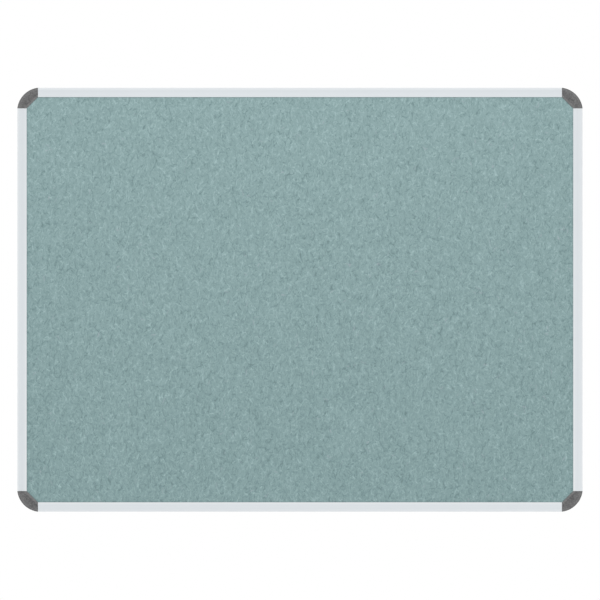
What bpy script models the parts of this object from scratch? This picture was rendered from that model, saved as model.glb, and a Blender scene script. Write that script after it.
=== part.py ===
"""A wall-hung felt info board, 1200 x 900 mm, in an aluminium frame with push-on corner caps.

X runs to the right and Z up. The wall is the plane Y = 0, and the board stands out from it
towards -Y, so its felt faces -Y. The origin is the middle of the board, on the wall.

The corner pieces are drawn as (a, b): the distances in from the frame's two outer edges,
measured from the sharp corner that those edges would make. Depths are measured from the wall
towards the front. The four corners are the same mouldings, turned about Y.
"""

import math

import bmesh
import bpy
from mathutils import Matrix

# Board and frame as a whole, in metres
board_width = 1.200
board_height = 0.900
face_width = 0.0200  # the frame as seen from the front
corner_radius = 0.050  # outline of the rounded corners
corner_rise = 0.0005  # how far that round would pass the rails' outer edges at its widest
cap_leg = 0.0435  # from the sharp corner to where a cap ends
wall_standoff = 0.0022  # only the corners touch the wall, and the rails hang this far off it
fit_gap = 0.0003  # between pieces that lie against each other
cut_overrun = 0.002  # how far a cutter runs past what it cuts
join_overlap = 0.0006  # how far shapes that are joined reach into each other

# Panel: felt on a soft fibreboard that holds pins, with a backing sheet behind it
felt_thickness = 0.002
core_thickness = 0.0095
backing_thickness = 0.0006
panel_edge_play = 0.001
panel_clip_cover = 0.005  # how far a cap's diagonal edge covers the panel's clipped corner

# Rail, an aluminium extrusion
front_wall = 0.0014
back_wall = 0.0014
outer_wall = 0.0014
chamber_width = 0.0082  # the closed chamber that takes a tongue of the corner connector
web_wall = 0.0012
back_lip_width = 0.0175
front_edge_radius = 0.004
lip_radius = 0.0006
back_edge_radius = 0.0006
drill_line_width = 0.0009  # the groove along the back that guides a drill
drill_line_depth = 0.0003

# Corner connector
upright_wall = 0.0018
arc_wall_height = 0.0094  # above the base plate
ledge_height = 0.0016  # the rim that a cap's skirt stops at, above the base plate
rib_wall = 0.0014
rib_height = 0.0050
pad_rim = 0.0030  # the flat rim round the hollow in the base plate's back
pad_hollow = 0.0014
pad_ring = 0.0022  # the flat ring round the wall hole, outside the well's radius
well_radius = 0.0050  # clear round the head of a wall screw
well_wall = 0.0014
well_height = 0.0058
wall_hole_radius = 0.0026
countersink_radius = 0.0044
countersink_depth = 0.0018

# Tongues of the corner connector, which plug into the rails
tongue_length = 0.038
tongue_tip = 0.0040
tongue_taper = 0.0010
tongue_wall = 0.0016
tongue_web = 0.0022
tongue_runner = 0.0012  # thickness of the runners that fill the play in the chamber

# Push-on corner cap
cap_rise = 0.0005  # how far a cap stands in front of the rails
cap_skirt = 0.0016
cap_edge_reach = 0.005  # the round front edge, measured in from the outline
cap_edge_drop = 0.004  # and back from the front
cap_brow_reach = 0.0045  # the flatter round down to the felt, along the diagonal edge
cap_brow_drop = 0.0012
cap_end_radius = 0.0008  # along the straight ends that face the rails
peg_radius = 0.0020
peg_length = 0.0085
peg_tip = 0.0012
peg_tip_radius = 0.0014
peg_play = 0.0003
peg_setback = 0.0095  # from a cap's straight end to a peg's axis
collar_radius = 0.0034
socket_wall = 0.0014

# Screws that hold the rails on the tongues, driven from behind
screw_inset = 0.020  # from a cap's straight end
screw_shank_radius = 0.0013
screw_shank_length = 0.0070
screw_head_radius = 0.0028
screw_head_height = 0.0014
screw_hole_play = 0.0003
screw_point_length = 0.0015
screw_point_radius = 0.0004

# Facets of round shapes
corner_arc_steps = 16
edge_arc_steps = 8
small_arc_steps = 3
circle_steps = 20
screw_circle_steps = 16

root_two = math.sqrt(2)

# Depths from the wall towards the front
rail_back = wall_standoff
base_top = rail_back + back_wall
panel_back = base_top + fit_gap
core_back = panel_back + backing_thickness + fit_gap
felt_back = core_back + core_thickness + fit_gap
felt_front = felt_back + felt_thickness
cap_underside = felt_front + fit_gap
rail_front = cap_underside + front_wall
cap_front = rail_front + cap_rise
connector_front = cap_underside - fit_gap
ledge_top = base_top + ledge_height
socket_top = base_top + arc_wall_height
collar_back = socket_top + fit_gap
peg_end = collar_back - peg_length
tongue_back = base_top + fit_gap

# Diagonal edges of a corner, each as the sum a + b of the points on it
cap_diagonal = cap_leg + face_width
panel_diagonal = cap_diagonal - root_two * panel_clip_cover
wall_diagonal = panel_diagonal - root_two * panel_edge_play
wall_inner_diagonal = wall_diagonal - root_two * upright_wall

# A corner's round edge: its centre, in from both outer edges, and radii about it
corner_centre = corner_radius - corner_rise
skirt_inner_radius = corner_radius - cap_skirt
arc_wall_outer_radius = skirt_inner_radius - fit_gap
arc_wall_inner_radius = arc_wall_outer_radius - upright_wall

# The hollow inside a cap's round front edge
hollow_reach = cap_edge_reach - cap_skirt
hollow_drop = cap_edge_drop - (cap_front - cap_underside)

# The rail's section, measured in from its outer edge
chamber_end = outer_wall + chamber_width
web_end = chamber_end + web_wall
drill_line = outer_wall + chamber_width / 2
panel_inset = web_end + panel_edge_play
chamber_edge_radius = front_edge_radius - front_wall

# The hole for a wall screw, on the corner's diagonal midway between the two upright walls
wall_hole_inset = (
    corner_centre * root_two - arc_wall_inner_radius + wall_inner_diagonal / root_two
) / 2
wall_hole = (wall_hole_inset / root_two, wall_hole_inset / root_two)
hole_ring_radius = well_radius + pad_ring

# Two sockets for a cap's pegs, each against the inside of the arc wall
socket_radius = peg_radius + peg_play
socket_outer_radius = socket_radius + socket_wall
socket_floor = peg_end - peg_play
socket_along = cap_leg - peg_setback
socket_swing_radius = arc_wall_inner_radius - socket_outer_radius + join_overlap
socket_across = corner_centre - math.sqrt(
    socket_swing_radius**2 - (corner_centre - socket_along) ** 2
)
sockets = ((socket_along, socket_across), (socket_across, socket_along))

# A tongue's sides, measured in from the rail's outer edge
wall_inner_end = cap_leg - upright_wall
arc_wall_side = corner_centre - math.sqrt(
    arc_wall_outer_radius**2 - (corner_centre - wall_inner_end) ** 2
)
tongue_outer = max(outer_wall + fit_gap, arc_wall_side) + join_overlap / 2
tongue_inner = chamber_end - fit_gap
tongue_bevel = tongue_outer + hollow_reach
tongue_end = cap_leg + tongue_length
rail_screw_along = cap_leg + screw_inset

# The corners in turn, anticlockwise from the front, each a quarter turn on from the one before
corners = (("bottom", "left"), ("bottom", "right"), ("top", "right"), ("top", "left"))

# Colour, metallic and roughness of each finish
finishes = {
    "aluminium": ((0.74, 0.77, 0.79), 0.9, 0.38),
    "cap_plastic": ((0.160, 0.160, 0.162), 0.0, 0.48),
    "connector_plastic": ((0.085, 0.085, 0.088), 0.0, 0.55),
    "felt": ((0.262, 0.382, 0.388), 0.0, 0.95),
    "fibreboard": ((0.42, 0.31, 0.20), 0.0, 0.90),
    "backing": ((0.52, 0.53, 0.54), 0.2, 0.60),
    "zinc": ((0.62, 0.63, 0.66), 0.9, 0.35),
}


def clear_scene():
    for obj in list(bpy.data.objects):
        bpy.data.objects.remove(obj, do_unlink=True)


def material(name):
    """The material of a finish, made the first time that it is asked for."""
    found = bpy.data.materials.get(name)
    if found:
        return found
    colour, metallic, roughness = finishes[name]
    made = bpy.data.materials.new(name)
    made.use_nodes = True
    shader = made.node_tree.nodes["Principled BSDF"]
    shader.inputs["Base Color"].default_value = (*colour, 1.0)
    shader.inputs["Metallic"].default_value = metallic
    shader.inputs["Roughness"].default_value = roughness
    return made


# Outlines


def arc(centre, radius, start, end, steps):
    """Points along an arc between two angles in degrees."""
    angles = [math.radians(start + (end - start) * i / steps) for i in range(steps + 1)]
    return [(centre[0] + radius * math.cos(t), centre[1] + radius * math.sin(t)) for t in angles]


def circle(centre, radius, steps):
    return arc(centre, radius, 0, 360, steps)[:-1]


def strip(start, end, width):
    """A straight strip between two points."""
    run = (end[0] - start[0], end[1] - start[1])
    length = math.hypot(*run)
    side = (-run[1] / length * width / 2, run[0] / length * width / 2)
    return [
        (start[0] + side[0], start[1] + side[1]),
        (start[0] - side[0], start[1] - side[1]),
        (end[0] - side[0], end[1] - side[1]),
        (end[0] + side[0], end[1] + side[1]),
    ]


def corner_outline(arc_inset, end_inset, diagonal_inset):
    """A corner piece from the front: a round outer edge, two straight ends that face the rails
    and a diagonal edge that faces the felt. Each inset moves its edges inwards."""
    radius = corner_radius - arc_inset
    leg = cap_leg - end_inset
    swing = math.degrees(math.asin((corner_centre - leg) / radius))
    centre = (corner_centre, corner_centre)
    round_edge = arc(centre, radius, 270 - swing, 180 + swing, corner_arc_steps)
    diagonal_end = cap_diagonal - root_two * diagonal_inset - leg
    return [*round_edge, (diagonal_end, leg), (leg, diagonal_end)]


def arc_band(outer_radius, inner_radius):
    """The strip between two radii of a corner, from one straight end to the other."""
    centre = (corner_centre, corner_centre)
    outer_swing = math.degrees(math.asin((corner_centre - cap_leg) / outer_radius))
    inner_swing = math.degrees(math.asin((corner_centre - cap_leg) / inner_radius))
    outer = arc(centre, outer_radius, 270 - outer_swing, 180 + outer_swing, corner_arc_steps)
    inner = arc(centre, inner_radius, 180 + inner_swing, 270 - inner_swing, corner_arc_steps)
    return [*outer, *inner]


def upright_outline(outer_end):
    """The straight walls of a connector: across both ends and along the diagonal."""
    return [
        (cap_leg, outer_end),
        (cap_leg, wall_diagonal - cap_leg),
        (wall_diagonal - cap_leg, cap_leg),
        (outer_end, cap_leg),
        (outer_end, wall_inner_end),
        (wall_inner_diagonal - wall_inner_end, wall_inner_end),
        (wall_inner_end, wall_inner_diagonal - wall_inner_end),
        (wall_inner_end, outer_end),
    ]


def at_depth(outline, depth):
    """An (a, b) outline as points that far in front of the wall."""
    return [(a, -depth, b) for a, b in outline]


# Solids


def mesh_object(name, bm):
    bmesh.ops.recalc_face_normals(bm, faces=bm.faces)
    mesh = bpy.data.meshes.new(name)
    bm.to_mesh(mesh)
    bm.free()
    obj = bpy.data.objects.new(name, mesh)
    bpy.context.scene.collection.objects.link(obj)
    return obj


def loft(name, rings):
    """A solid through rings of equally many points, closed by a face at each end."""
    bm = bmesh.new()
    rows = [[bm.verts.new(point) for point in ring] for ring in rings]
    count = len(rings[0])
    for near, far in zip(rows, rows[1:]):
        for i in range(count):
            j = (i + 1) % count
            bm.faces.new((near[i], near[j], far[j], far[i]))
    bm.faces.new(rows[0])
    bm.faces.new(rows[-1])
    return mesh_object(name, bm)


def plate(name, outline, back, front):
    """An (a, b) outline made solid between two depths."""
    return loft(name, [at_depth(outline, back), at_depth(outline, front)])


def turned(name, centre, profile, steps=circle_steps):
    """A round solid about a line that runs forwards, from its depths and radii."""
    return loft(name, [at_depth(circle(centre, radius, steps), depth) for depth, radius in profile])


def bake_modifiers(obj):
    graph = bpy.context.evaluated_depsgraph_get()
    mesh = bpy.data.meshes.new_from_object(obj.evaluated_get(graph))
    obj.modifiers.clear()
    obj.data = mesh


def combine(obj, others, operation):
    """Unites others with obj, or cuts them from it, and removes them."""
    for other in others:
        modifier = obj.modifiers.new(other.name, "BOOLEAN")
        modifier.operation = operation
        modifier.solver = "EXACT"
        modifier.object = other
    bake_modifiers(obj)
    for other in others:
        bpy.data.objects.remove(other, do_unlink=True)
    return obj


def merge_flat_faces(obj):
    """Joins coplanar faces that lie side by side."""
    bm = bmesh.new()
    bm.from_mesh(obj.data)
    flat = math.radians(0.05)
    bmesh.ops.dissolve_limit(
        bm, angle_limit=flat, use_dissolve_boundaries=False, verts=bm.verts, edges=bm.edges
    )
    bm.to_mesh(obj.data)
    bm.free()


def swapped(obj):
    """A copy of a corner shape with a and b exchanged."""
    copy = bpy.data.objects.new(obj.name, obj.data.copy())
    bpy.context.scene.collection.objects.link(copy)
    copy.data.transform(Matrix(((0, 0, 1, 0), (0, 1, 0, 0), (1, 0, 0, 0), (0, 0, 0, 1))))
    copy.data.flip_normals()
    return copy


def finish(obj, finish_name):
    obj.data.materials.clear()
    obj.data.materials.append(material(finish_name))
    obj.data.shade_smooth()
    obj.data.set_sharp_from_angle(angle=math.radians(30))
    return obj


def corner_signs(level, side):
    """Which way a corner lies from the middle of the board, along X and along Z."""
    return (1 if side == "right" else -1), (1 if level == "top" else -1)


def another(source, name, parent=None, place=(0, 0)):
    """One more object with the same shape, at (a, b) in its parent."""
    obj = bpy.data.objects.new(name, source.data)
    bpy.context.scene.collection.objects.link(obj)
    obj.parent = parent
    obj.location = (place[0], 0, place[1])
    return obj


# Panel


def panel_outline():
    """A rectangle whose corners are clipped to clear the corner connectors."""
    half_width, half_height = board_width / 2, board_height / 2
    clip = panel_diagonal - panel_inset
    outline = []
    for level, side in corners:
        along, up = corner_signs(level, side)
        near_rail = (along * (half_width - clip), up * (half_height - panel_inset))
        near_side = (along * (half_width - panel_inset), up * (half_height - clip))
        outline += [near_side, near_rail] if along == up else [near_rail, near_side]
    return outline


def build_panel():
    layers = (
        ("backing_sheet", panel_back, backing_thickness, "backing"),
        ("core_board", core_back, core_thickness, "fibreboard"),
        ("felt_cover", felt_back, felt_thickness, "felt"),
    )
    for name, back, thickness, finish_name in layers:
        finish(plate(name, panel_outline(), back, back + thickness), finish_name)


# Rails


def rail_section():
    """The outline and the chamber, as points (distance in from the outer edge, depth)."""
    back_round = (back_edge_radius, rail_back + back_edge_radius)
    lip_round = (face_width - lip_radius, rail_front - lip_radius)
    front_round = (front_edge_radius, rail_front - front_edge_radius)
    outline = [
        *arc(back_round, back_edge_radius, 180, 270, small_arc_steps),
        (drill_line - drill_line_width / 2, rail_back),
        (drill_line, rail_back + drill_line_depth),
        (drill_line + drill_line_width / 2, rail_back),
        (back_lip_width, rail_back),
        (back_lip_width, base_top),
        (web_end, base_top),
        (web_end, cap_underside),
        (face_width, cap_underside),
        *arc(lip_round, lip_radius, 0, 90, small_arc_steps),
        *arc(front_round, front_edge_radius, 90, 180, edge_arc_steps),
    ]
    chamber_round = (outer_wall + chamber_edge_radius, cap_underside - chamber_edge_radius)
    chamber = [
        (outer_wall, base_top),
        (chamber_end, base_top),
        (chamber_end, cap_underside),
        *arc(chamber_round, chamber_edge_radius, 90, 180, edge_arc_steps),
    ]
    return outline, chamber


def extruded_rail(name, length):
    """A rail along X, open at both ends and drilled for a screw near each end."""
    bm = bmesh.new()
    end_edges = []
    for loop in rail_section():
        verts = [bm.verts.new((-length / 2, -depth, inwards)) for inwards, depth in loop]
        end_edges += [bm.edges.new(pair) for pair in zip(verts, verts[1:] + verts[:1])]
    end = bmesh.ops.triangle_fill(bm, use_beauty=True, edges=end_edges)
    end_faces = [item for item in end["geom"] if isinstance(item, bmesh.types.BMFace)]
    run = bmesh.ops.extrude_face_region(bm, geom=end_faces, use_keep_orig=True)
    moved = [item for item in run["geom"] if isinstance(item, bmesh.types.BMVert)]
    bmesh.ops.translate(bm, verts=moved, vec=(length, 0, 0))
    rail = mesh_object(name, bm)
    from_end = screw_inset - fit_gap
    hole_radius = screw_shank_radius + screw_hole_play
    hole_span = [(rail_back - cut_overrun, hole_radius), (base_top + cut_overrun, hole_radius)]
    places = [(side * (length / 2 - from_end), drill_line) for side in (-1, 1)]
    combine(rail, [turned("drill", place, hole_span) for place in places], "DIFFERENCE")
    return finish(rail, "aluminium")


def build_rails():
    """Two long and two short rails, turned so that their grooves face the panel."""
    ends = 2 * (cap_leg + fit_gap)
    bottom = extruded_rail("rail_bottom", board_width - ends)
    left = extruded_rail("rail_left", board_height - ends)
    top = another(bottom, "rail_top")
    right = another(left, "rail_right")
    bottom.location.z = -board_height / 2
    top.location.z = board_height / 2
    top.rotation_euler.y = math.pi
    left.location.x = -board_width / 2
    left.rotation_euler.y = math.pi / 2
    right.location.x = board_width / 2
    right.rotation_euler.y = -math.pi / 2


# Corner connectors


def tongue_section(along, taper):
    """A tongue's section, bevelled on the side where a cap's round edge passes it."""
    outer, inner = tongue_outer + taper, tongue_inner - taper
    back, front = tongue_back + taper, connector_front - taper
    bevel_back = front - (tongue_bevel - outer) * hollow_drop / hollow_reach
    points = ((outer, back), (inner, back), (inner, front), (tongue_bevel, front), (outer, bevel_back))
    return [(along, -depth, across) for across, depth in points]


def tongue_pockets():
    """Pockets that core a tongue out from the panel's side, clear of the rail screw."""
    screw_block = screw_head_radius + tongue_wall
    pocket_back, pocket_front = tongue_back + tongue_wall, connector_front - tongue_wall
    low, high = tongue_outer + tongue_web, tongue_inner + cut_overrun
    spans = (
        (cap_leg + tongue_wall, rail_screw_along - screw_block),
        (rail_screw_along + screw_block, tongue_end - tongue_tip - tongue_wall),
    )
    pockets = []
    for start, end in spans:
        rib_start = (start + end - tongue_wall) / 2
        for near, far in ((start, rib_start), (rib_start + tongue_wall, end)):
            outline = [(near, low), (far, low), (far, high), (near, high)]
            pockets.append(plate("pocket", outline, pocket_back, pocket_front))
    return pockets


def tongue():
    """The bar that plugs into the rail along a, with runners that lie along its outer side."""
    bar = loft(
        "tongue",
        [
            tongue_section(cap_leg - upright_wall / 2, 0),
            tongue_section(tongue_end - tongue_tip, 0),
            tongue_section(tongue_end, tongue_taper),
        ],
    )
    runner_start, runner_end = cap_leg + fit_gap, tongue_end - tongue_tip
    runner_outer, runner_inner = outer_wall + fit_gap, tongue_outer + join_overlap
    runner = [
        (runner_start, runner_outer),
        (runner_end - tongue_taper, runner_outer),
        (runner_end, tongue_outer),
        (runner_end, runner_inner),
        (runner_start, runner_inner),
    ]
    bevel_back = connector_front - hollow_drop
    middles = (tongue_back + tongue_wall, bevel_back - tongue_wall)
    runners = [
        plate("runner", runner, middle - tongue_runner / 2, middle + tongue_runner / 2)
        for middle in middles
    ]
    combine(bar, runners, "UNION")
    pilot_radius = screw_shank_radius + screw_hole_play
    pilot_end = rail_back + screw_shank_length + fit_gap
    pilot_span = [(tongue_back - cut_overrun, pilot_radius), (pilot_end, pilot_radius)]
    pilot = turned("pilot", (rail_screw_along, drill_line), pilot_span)
    return combine(bar, [*tongue_pockets(), pilot], "DIFFERENCE")


def connector_walls():
    """The walls, sockets, screw well and ribs that stand on a connector's base plate."""
    foot = base_top - join_overlap
    bevel_back = connector_front - hollow_drop
    rib_top = base_top + rib_height
    well_outer = well_radius + well_wall
    uprights = [
        at_depth(upright_outline(tongue_outer), foot),
        at_depth(upright_outline(tongue_outer), bevel_back),
        at_depth(upright_outline(tongue_bevel), connector_front),
    ]
    shapes = [
        plate("arc_wall", arc_band(arc_wall_outer_radius, arc_wall_inner_radius), foot, socket_top),
        plate("ledge", arc_band(corner_radius, arc_wall_inner_radius), foot, ledge_top),
        loft("upright_walls", uprights),
        turned("well", wall_hole, [(foot, well_outer), (base_top + well_height, well_outer)]),
    ]
    for place in sockets:
        socket = [(foot, socket_outer_radius), (socket_top, socket_outer_radius)]
        shapes.append(turned("socket", place, socket))
        shapes.append(plate("rib", strip(wall_hole, place, rib_wall), foot, rib_top))
    arc_end = corner_centre - (arc_wall_inner_radius + join_overlap) / root_two
    wall_end = wall_inner_diagonal / 2 + join_overlap / root_two
    diagonal_rib = strip((arc_end, arc_end), (wall_end, wall_end), rib_wall)
    shapes.append(plate("diagonal_rib", diagonal_rib, foot, rib_top))
    return shapes


def back_hollow():
    """The hollow in a base plate's back, which leaves a rim, a ring and spokes to rest on."""
    hollow = plate("hollow", corner_outline(pad_rim, pad_rim, pad_rim), -cut_overrun, pad_hollow)
    kept_back, kept_front = -2 * cut_overrun, pad_hollow + cut_overrun
    kept = [turned("ring", wall_hole, [(kept_back, hole_ring_radius), (kept_front, hole_ring_radius)])]
    near_arc = corner_centre - (corner_radius - pad_rim / 2) / root_two
    near_edge = (cap_diagonal - pad_rim / root_two) / 2
    spoke = strip((near_arc, near_arc), (near_edge, near_edge), rib_wall)
    kept.append(plate("spoke", spoke, kept_back, kept_front))
    for end in sockets:
        far = tuple(2 * e - h for e, h in zip(end, wall_hole))
        kept.append(plate("spoke", strip(wall_hole, far, rib_wall), kept_back, kept_front))
    return combine(hollow, kept, "DIFFERENCE")


def corner_connector():
    """The hidden moulding that joins two rails: it rests on the wall, takes the wall screw in a
    well, holds the cap's pegs and plugs a tongue into each rail."""
    body = plate("corner_connector", corner_outline(0, 0, 0), 0, base_top)
    bar = tongue()
    combine(body, [*connector_walls(), swapped(bar), bar], "UNION")
    past_front = connector_front + cut_overrun
    countersink_back = base_top - countersink_depth
    wall_hole_profile = [
        (-cut_overrun, wall_hole_radius),
        (countersink_back, wall_hole_radius),
        (base_top, countersink_radius),
        (base_top + join_overlap, countersink_radius),
    ]
    cuts = [
        back_hollow(),
        turned("well_bore", wall_hole, [(base_top, well_radius), (past_front, well_radius)]),
        turned("wall_hole", wall_hole, wall_hole_profile),
    ]
    for place in sockets:
        bore = [(socket_floor, socket_radius), (socket_top + cut_overrun, socket_radius)]
        cuts.append(turned("socket_bore", place, bore))
    combine(body, cuts, "DIFFERENCE")
    merge_flat_faces(body)
    body.data.transform(Matrix.Translation((-wall_hole[0], 0, -wall_hole[1])))
    return finish(body, "connector_plastic")


# Corner caps


def round_inset(reach, drop, behind):
    """How far a rounded edge has come in, at a depth behind the front that it runs up to."""
    left = max(1 - behind / drop, 0)
    return reach * (1 - math.sqrt(1 - left**2))


def cap_shell():
    """A plate with a skirt along its round outer edge, open towards the rails and the felt."""
    outside = [at_depth(corner_outline(0, 0, 0), ledge_top + fit_gap)]
    hollow = corner_outline(cap_skirt, -cut_overrun, -cut_overrun)
    inside = [at_depth(hollow, ledge_top - cut_overrun)]
    for i in range(edge_arc_steps + 1):
        turn = math.pi / 2 * i / edge_arc_steps
        come_in, still_behind = 1 - math.cos(turn), 1 - math.sin(turn)
        behind = cap_edge_drop * still_behind
        end_inset = round_inset(cap_end_radius, cap_end_radius, behind)
        brow_inset = round_inset(cap_brow_reach, cap_brow_drop, behind)
        outer = corner_outline(cap_edge_reach * come_in, end_inset, brow_inset)
        outside.append(at_depth(outer, cap_front - behind))
        inner = corner_outline(cap_skirt + hollow_reach * come_in, -cut_overrun, -cut_overrun)
        inside.append(at_depth(inner, cap_underside - hollow_drop * still_behind))
    return combine(loft("corner_cap", outside), [loft("hollow", inside)], "DIFFERENCE")


def corner_cap():
    """The cap that hides a connector: it pushes on from the front and is held by two pegs."""
    shell = cap_shell()
    foot = cap_underside + join_overlap
    peg = [
        (peg_end, peg_tip_radius),
        (peg_end + peg_tip, peg_radius),
        (collar_back, peg_radius),
        (collar_back, collar_radius),
        (foot, collar_radius),
    ]
    combine(shell, [turned("peg", place, peg) for place in sockets], "UNION")
    merge_flat_faces(shell)
    shell.data.transform(Matrix.Translation((-wall_hole[0], 0, -wall_hole[1])))
    return finish(shell, "cap_plastic")


# Screws


def rail_screw():
    """A flat-headed screw that runs forwards, its head behind the rail."""
    head_front = rail_back - fit_gap
    head_back = head_front - screw_head_height
    shank_end = rail_back + screw_shank_length
    profile = [
        (head_back, screw_head_radius / 2),
        (head_back + screw_head_height / 4, screw_head_radius - screw_head_height / 4),
        (head_back + screw_head_height * 2 / 3, screw_head_radius),
        (head_front, screw_head_radius),
        (head_front, screw_shank_radius),
        (shank_end - screw_point_length, screw_shank_radius),
        (shank_end, screw_point_radius),
    ]
    return finish(turned("rail_screw", (0, 0), profile, screw_circle_steps), "zinc")


# Corners


def build_corners():
    """A connector, a cap and two rail screws at each corner, in a frame turned to suit it."""
    connector, cap, screw = corner_connector(), corner_cap(), rail_screw()
    for turns, (level, side) in enumerate(corners):
        along, up = corner_signs(level, side)
        corner = bpy.data.objects.new(f"corner_{level}_{side}", None)
        bpy.context.scene.collection.objects.link(corner)
        corner.location = (along * board_width / 2, 0, up * board_height / 2)
        corner.rotation_euler.y = -turns * math.pi / 2
        another(connector, f"corner_connector_{level}_{side}", corner, wall_hole)
        another(cap, f"corner_cap_{level}_{side}", corner, wall_hole)
        places = [(rail_screw_along, drill_line), (drill_line, rail_screw_along)]
        if turns % 2:
            places.reverse()
        another(screw, f"screw_{level}_rail_{side}", corner, places[0])
        another(screw, f"screw_{side}_rail_{level}", corner, places[1])
    for source in (connector, cap, screw):
        bpy.data.objects.remove(source, do_unlink=True)


clear_scene()
build_rails()
build_panel()
build_corners()
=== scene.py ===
import math
import random

import bmesh
import bpy
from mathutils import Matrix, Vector, noise


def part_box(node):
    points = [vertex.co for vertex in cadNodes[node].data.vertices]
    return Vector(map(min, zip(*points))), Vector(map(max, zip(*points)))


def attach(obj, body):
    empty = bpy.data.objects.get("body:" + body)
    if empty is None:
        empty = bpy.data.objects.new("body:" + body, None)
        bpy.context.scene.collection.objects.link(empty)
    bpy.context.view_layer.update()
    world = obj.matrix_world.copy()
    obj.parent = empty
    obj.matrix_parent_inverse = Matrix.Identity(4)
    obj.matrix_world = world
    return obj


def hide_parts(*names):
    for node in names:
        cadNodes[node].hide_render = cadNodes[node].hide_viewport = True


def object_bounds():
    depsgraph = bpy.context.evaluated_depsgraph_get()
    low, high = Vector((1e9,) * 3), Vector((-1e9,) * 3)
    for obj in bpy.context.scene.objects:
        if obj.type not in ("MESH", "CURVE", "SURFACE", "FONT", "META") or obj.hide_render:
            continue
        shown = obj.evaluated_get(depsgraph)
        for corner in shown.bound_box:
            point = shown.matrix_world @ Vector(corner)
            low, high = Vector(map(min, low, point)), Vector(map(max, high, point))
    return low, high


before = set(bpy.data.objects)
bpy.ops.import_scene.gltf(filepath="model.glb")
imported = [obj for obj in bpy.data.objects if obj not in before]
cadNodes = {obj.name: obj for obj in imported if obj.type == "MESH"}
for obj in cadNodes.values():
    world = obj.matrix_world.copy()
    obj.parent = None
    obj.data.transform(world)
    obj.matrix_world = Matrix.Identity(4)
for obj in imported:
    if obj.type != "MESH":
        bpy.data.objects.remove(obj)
cadLow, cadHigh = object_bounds()
print("frame loaded:", len(cadNodes), "nodes")

corners = (("bottom", "left"), ("bottom", "right"), ("top", "right"), ("top", "left"))
# where the frame's outer edges lie, and how wide its face is
edgeX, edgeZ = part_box("rail_right")[1].x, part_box("rail_top")[1].z
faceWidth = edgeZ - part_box("rail_top")[0].z
# the edge of a cap beside the felt: the sum of its distances from the two outer edges
capDiagonal = 0.0635

noiseMiddle = 0.5
noiseSpan = (0.3, 0.7)  # nearly all values of a noise lie between these
smoothBelow = 35  # in degrees: edges that turn more than this stay sharp
sameWithin = 1e-7  # points that lie closer than this are one
levelWithin = 1e-5  # and points that lie closer than this to a level are on it


# helpers for shader nodes

def newMaterial(name):
    material = bpy.data.materials.new(name)
    material.use_nodes = True
    tree = material.node_tree
    return material, tree, tree.nodes["Principled BSDF"]


def addNode(tree, kind, place, **settings):
    node = tree.nodes.new(kind)
    node.location = (place[0] * 200, place[1] * 200)
    for key, value in settings.items():
        setattr(node, key, value)
    return node


def feed(tree, socket, value):
    # a number or a colour goes on the socket itself, anything else is a link
    if isinstance(value, (int, float)):
        socket.default_value = value
    elif isinstance(value, tuple):
        socket.default_value = (*value, 1.0) if socket.type == "RGBA" else value
    elif value is not None:
        tree.links.new(value, socket)


def mathNode(tree, place, operation, first, second=None, third=None):
    node = addNode(tree, "ShaderNodeMath", place, operation=operation)
    for socket, value in zip(node.inputs, (first, second, third)):
        feed(tree, socket, value)
    return node.outputs[0]


def vectorNode(tree, place, operation, first, second=None, third=None):
    node = addNode(tree, "ShaderNodeVectorMath", place, operation=operation)
    for socket, value in zip(node.inputs, (first, second, third)):
        feed(tree, socket, value)
    return node.outputs["Value" if operation in ("DOT_PRODUCT", "LENGTH") else "Vector"]


def rangeNode(tree, place, value, low, high, toLow=0.0, toHigh=1.0, smooth=True):
    node = addNode(tree, "ShaderNodeMapRange", place)
    node.interpolation_type = "SMOOTHSTEP" if smooth else "LINEAR"
    given = (("Value", value), ("From Min", low), ("From Max", high), ("To Min", toLow), ("To Max", toHigh))
    for key, number in given:
        feed(tree, node.inputs[key], number)
    return node.outputs["Result"]


def mixColour(tree, place, factor, first, second):
    node = addNode(tree, "ShaderNodeMix", place, data_type="RGBA")
    for index, value in ((0, factor), (6, first), (7, second)):
        feed(tree, node.inputs[index], value)
    return node.outputs[2]


def noiseNode(tree, place, vector, scale, detail=2.0, roughness=0.5, curl=0.0, shift=0.0):
    # where a noise's settings are kept as one value, they come in this order, up to the curl
    node = addNode(tree, "ShaderNodeTexNoise", place, noise_dimensions="4D")
    for key, value in (("Vector", vector), ("Scale", scale), ("W", shift), ("Detail", detail),
                       ("Roughness", roughness), ("Distortion", curl)):
        feed(tree, node.inputs[key], value)
    return node.outputs["Fac"]


def stretched(tree, place, vector, scale):
    node = addNode(tree, "ShaderNodeMapping", place, vector_type="POINT")
    feed(tree, node.inputs["Scale"], scale)
    feed(tree, node.inputs["Vector"], vector)
    return node.outputs["Vector"]


def bumpNode(tree, place, height, distance):
    node = addNode(tree, "ShaderNodeBump", place)
    feed(tree, node.inputs["Distance"], distance)
    feed(tree, node.inputs["Height"], height)
    return node.outputs["Normal"]


def objectPlace(tree, place):
    return addNode(tree, "ShaderNodeTexCoord", place).outputs["Object"]


def newGroup(name, inputs, outputs):
    group = bpy.data.node_groups.new(name, "ShaderNodeTree")
    group.interface.new_socket(name="Place", in_out="INPUT", socket_type="NodeSocketVector")
    for label, value in inputs.items():
        socket = group.interface.new_socket(name=label, in_out="INPUT", socket_type="NodeSocketFloat")
        socket.default_value = value
    for label in outputs:
        group.interface.new_socket(name=label, in_out="OUTPUT", socket_type="NodeSocketFloat")
    return group, addNode(group, "NodeGroupInput", (-14, 0)), addNode(group, "NodeGroupOutput", (6, 0))


def useGroup(tree, group, place, vector, **values):
    node = addNode(tree, "ShaderNodeGroup", place, node_tree=group)
    feed(tree, node.inputs["Place"], vector)
    for key, value in values.items():
        feed(tree, node.inputs[key], value)
    return node.outputs


# helpers for pieces

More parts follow.
